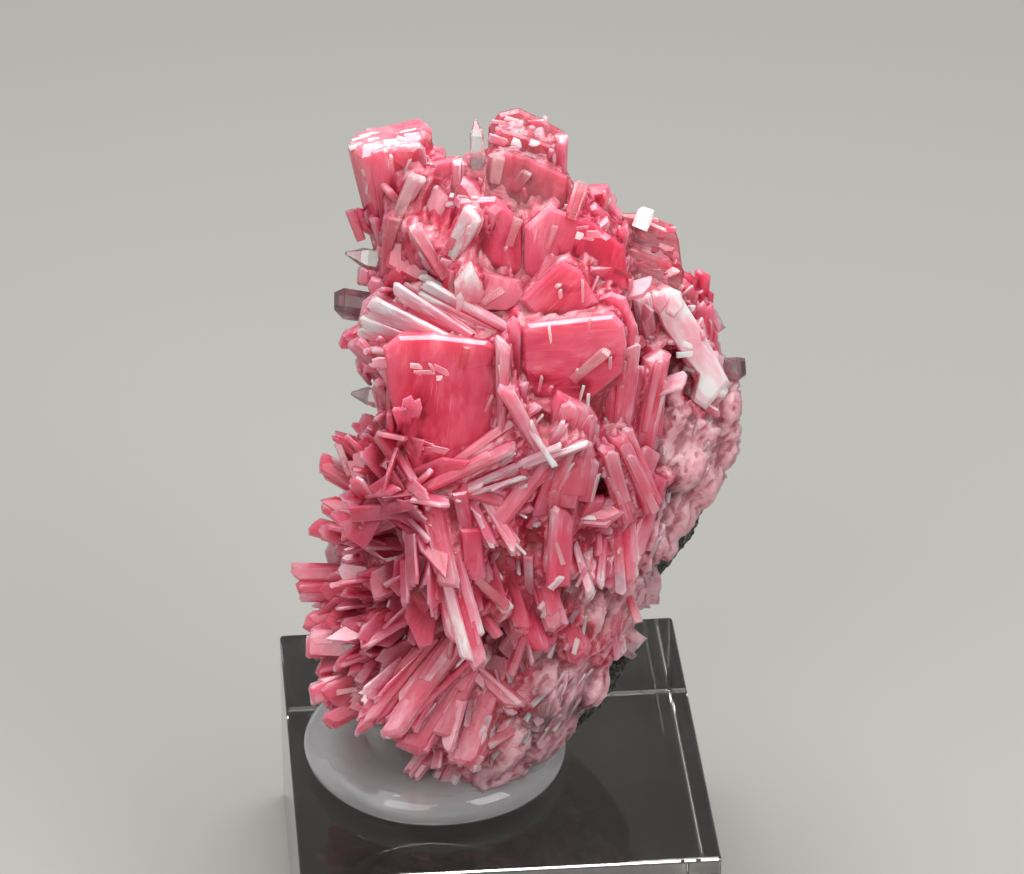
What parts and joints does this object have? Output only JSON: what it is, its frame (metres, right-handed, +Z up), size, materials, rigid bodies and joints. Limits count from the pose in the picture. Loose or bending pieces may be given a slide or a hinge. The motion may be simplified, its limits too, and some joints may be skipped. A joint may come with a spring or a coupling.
{
  "type": "mounted rhodonite mineral specimen",
  "caption": "Cluster of rose-pink tabular crystals on a slab of dark host rock, held upright by a clear gum pad on a square clear acrylic block.",
  "frame": {"origin": "centre of the acrylic block's underside, on the surface it stands on", "axes": "+Z up, +X to the right and -Y towards a viewer who faces the specimen's show side; the block's sides lie along X and Y"},
  "size_m": [0.042, 0.0401, 0.083],
  "materials": {
    "clear_acrylic": "polished clear cast acrylic with a faint grey tint",
    "clear_gum": "soft clear gum, slightly cloudy, smooth moulded skin",
    "rhodonite": "vitreous translucent rose-pink crystal faces, fine striations along the length",
    "host_rock": "rough broken dark grey-black rock with fine pale grains",
    "clear_quartz": "clear glassy crystal",
    "smoky_quartz": "grey-brown glassy crystal",
    "white_calcite": "white, slightly pearly"
  },
  "bodies": {
    "root": {"acrylic_block": "clear_acrylic", "gum_pad": "clear_gum", "rhodonite_cluster": "rhodonite", "host_rock": "host_rock", "quartz_crystal_crown": "clear_quartz", "quartz_crystal_left_upper": "clear_quartz", "quartz_crystal_left_lower": "clear_quartz", "smoky_quartz_left": "smoky_quartz", "smoky_quartz_right": "smoky_quartz", "calcite_flake": "white_calcite"}
  },
  "joints": []
}
